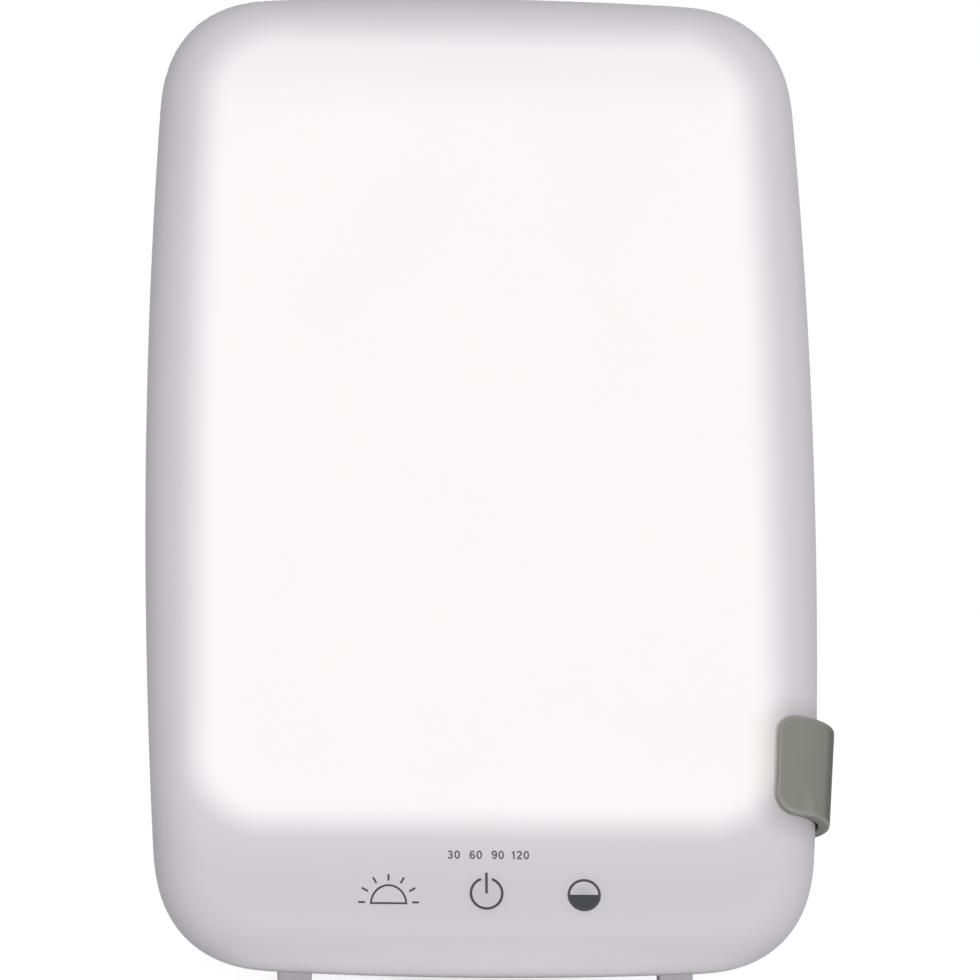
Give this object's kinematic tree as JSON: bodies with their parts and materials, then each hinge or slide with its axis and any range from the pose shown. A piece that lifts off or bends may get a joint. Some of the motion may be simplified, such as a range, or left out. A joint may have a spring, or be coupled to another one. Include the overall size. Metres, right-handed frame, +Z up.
{
  "type": "light therapy lamp",
  "caption": "Leaning flat light panel with an opal lit front, printed touch controls, a grey side clip that is part of its sliding stand, and a folding leg behind.",
  "frame": {"origin": "on the table, under the middle of the whole part's bounding box at rest", "axes": "+Z up, -Y the way the lit front faces, +X to the right seen from the front, where the grey clip is"},
  "size_m": [0.2304, 0.146, 0.3328],
  "materials": {
    "opal_cover": "opal satin moulding, lit from inside",
    "housing": "fine satin texture",
    "diffuser": "matt white sheet",
    "reflector": "matt white",
    "plate": "mill finish",
    "led_board": "white solder mask",
    "board": "green solder mask",
    "mask": "matt black",
    "led_chip": "clear epoxy",
    "foam": "conductive foam",
    "black_plastic": "satin black",
    "copper": "enamelled winding",
    "canister": "sleeved can",
    "connector": "natural nylon",
    "red_wire": "red sleeve",
    "black_wire": "black sleeve",
    "steel": "zinc plated",
    "foot_rubber": "light grey",
    "grey_plastic": "satin warm grey",
    "lining": "dark foam lining",
    "pad_rubber": "dark grey"
  },
  "bodies": {
    "panel": {"board_screw_1": "steel", "board_screw_2": "steel", "board_screw_3": "steel", "board_screw_4": "steel", "carrier_plate": "plate", "control_board": "board", "control_chip": "black_plastic", "diffuser_plate": "diffuser", "driver_capacitor": "canister", "driver_inductor": "copper", "foot_left": "foot_rubber", "foot_right": "foot_rubber", "front_cover": "opal_cover", "housing_screw_1": "steel", "housing_screw_2": "steel", "housing_screw_3": "steel", "housing_screw_4": "steel", "housing_screw_5": "steel", "housing_screw_6": "steel", "inlet_connector": "connector", "inlet_lead_negative": "black_wire", "inlet_lead_positive": "red_wire", "led_bus": "led_board", "led_strip_a": "led_board", "led_strip_b": "led_board", "led_strip_c": "led_board", "led_strip_d": "led_board", "led_strip_e": "led_board", "led_strip_f": "led_board", "light_mask": "mask", "plate_screw_1": "steel", "plate_screw_2": "steel", "plate_screw_3": "steel", "plate_screw_4": "steel", "power_socket": "black_plastic", "rear_housing": "housing", "reflector_tray": "reflector", "strip_connector": "connector", "strip_lead_negative": "black_wire", "strip_lead_positive": "red_wire", "timer_led_120": "led_chip", "timer_led_30": "led_chip", "timer_led_60": "led_chip", "timer_led_90": "led_chip", "touch_pad_dimmer": "foam", "touch_pad_power": "foam", "touch_pad_sunrise": "foam"},
    "band": {"stand_band": "grey_plastic", "clip_lining": "lining", "hinge_pin": "steel", "hinge_washer_left": "black_plastic", "hinge_washer_right": "black_plastic"},
    "leg": {"stand_leg": "grey_plastic", "leg_pad": "pad_rubber"}
  },
  "joints": [
    {"name": "band_slide", "type": "slide", "parent": "panel", "child": "band", "axis": [1, 0, 0], "range_m": [0, 0.15]},
    {"name": "leg_fold", "type": "hinge", "parent": "band", "child": "leg", "pos_m": [-0.00188, -0.01791, 0.05873], "axis": [1, 0, 0], "range_deg": [0, 103]}
  ]
}
